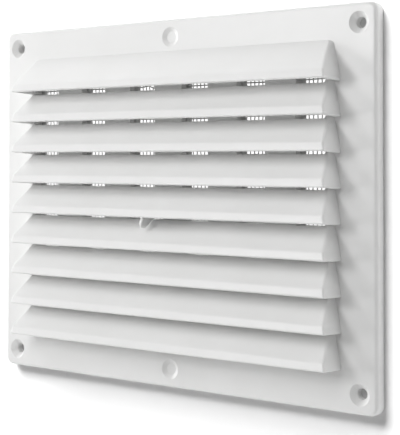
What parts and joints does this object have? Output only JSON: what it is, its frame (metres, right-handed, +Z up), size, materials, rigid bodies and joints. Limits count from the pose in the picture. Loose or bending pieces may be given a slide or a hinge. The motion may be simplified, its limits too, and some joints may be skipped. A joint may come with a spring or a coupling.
{
  "type": "ventilation grille",
  "caption": "Rectangular wall vent with rows of hooded louvres, screw holes in its corners, a sliding shutter with a finger tab behind the louvres, and an insect screen.",
  "frame": {"origin": "centre of the plate's outline in the wall plane, level with the rear edge of the rim", "axes": "-Y out of the wall towards the room, +X to the right as seen from the front, +Z up"},
  "size_m": [0.19, 0.0172, 0.15],
  "materials": {
    "white_plastic": "smooth moulded white plastic with a soft sheen",
    "shutter_plastic": "smooth moulded white plastic with a soft sheen",
    "net_plastic": "fine off-white plastic net"
  },
  "bodies": {
    "grille": {"face_grille": "white_plastic", "insect_screen": "net_plastic"},
    "shutter": {"shutter": "shutter_plastic"}
  },
  "joints": [
    {"name": "shutter_slide", "type": "slide", "parent": "grille", "child": "shutter", "axis": [1, 0, 0], "range_m": [0, 0.0115]}
  ]
}
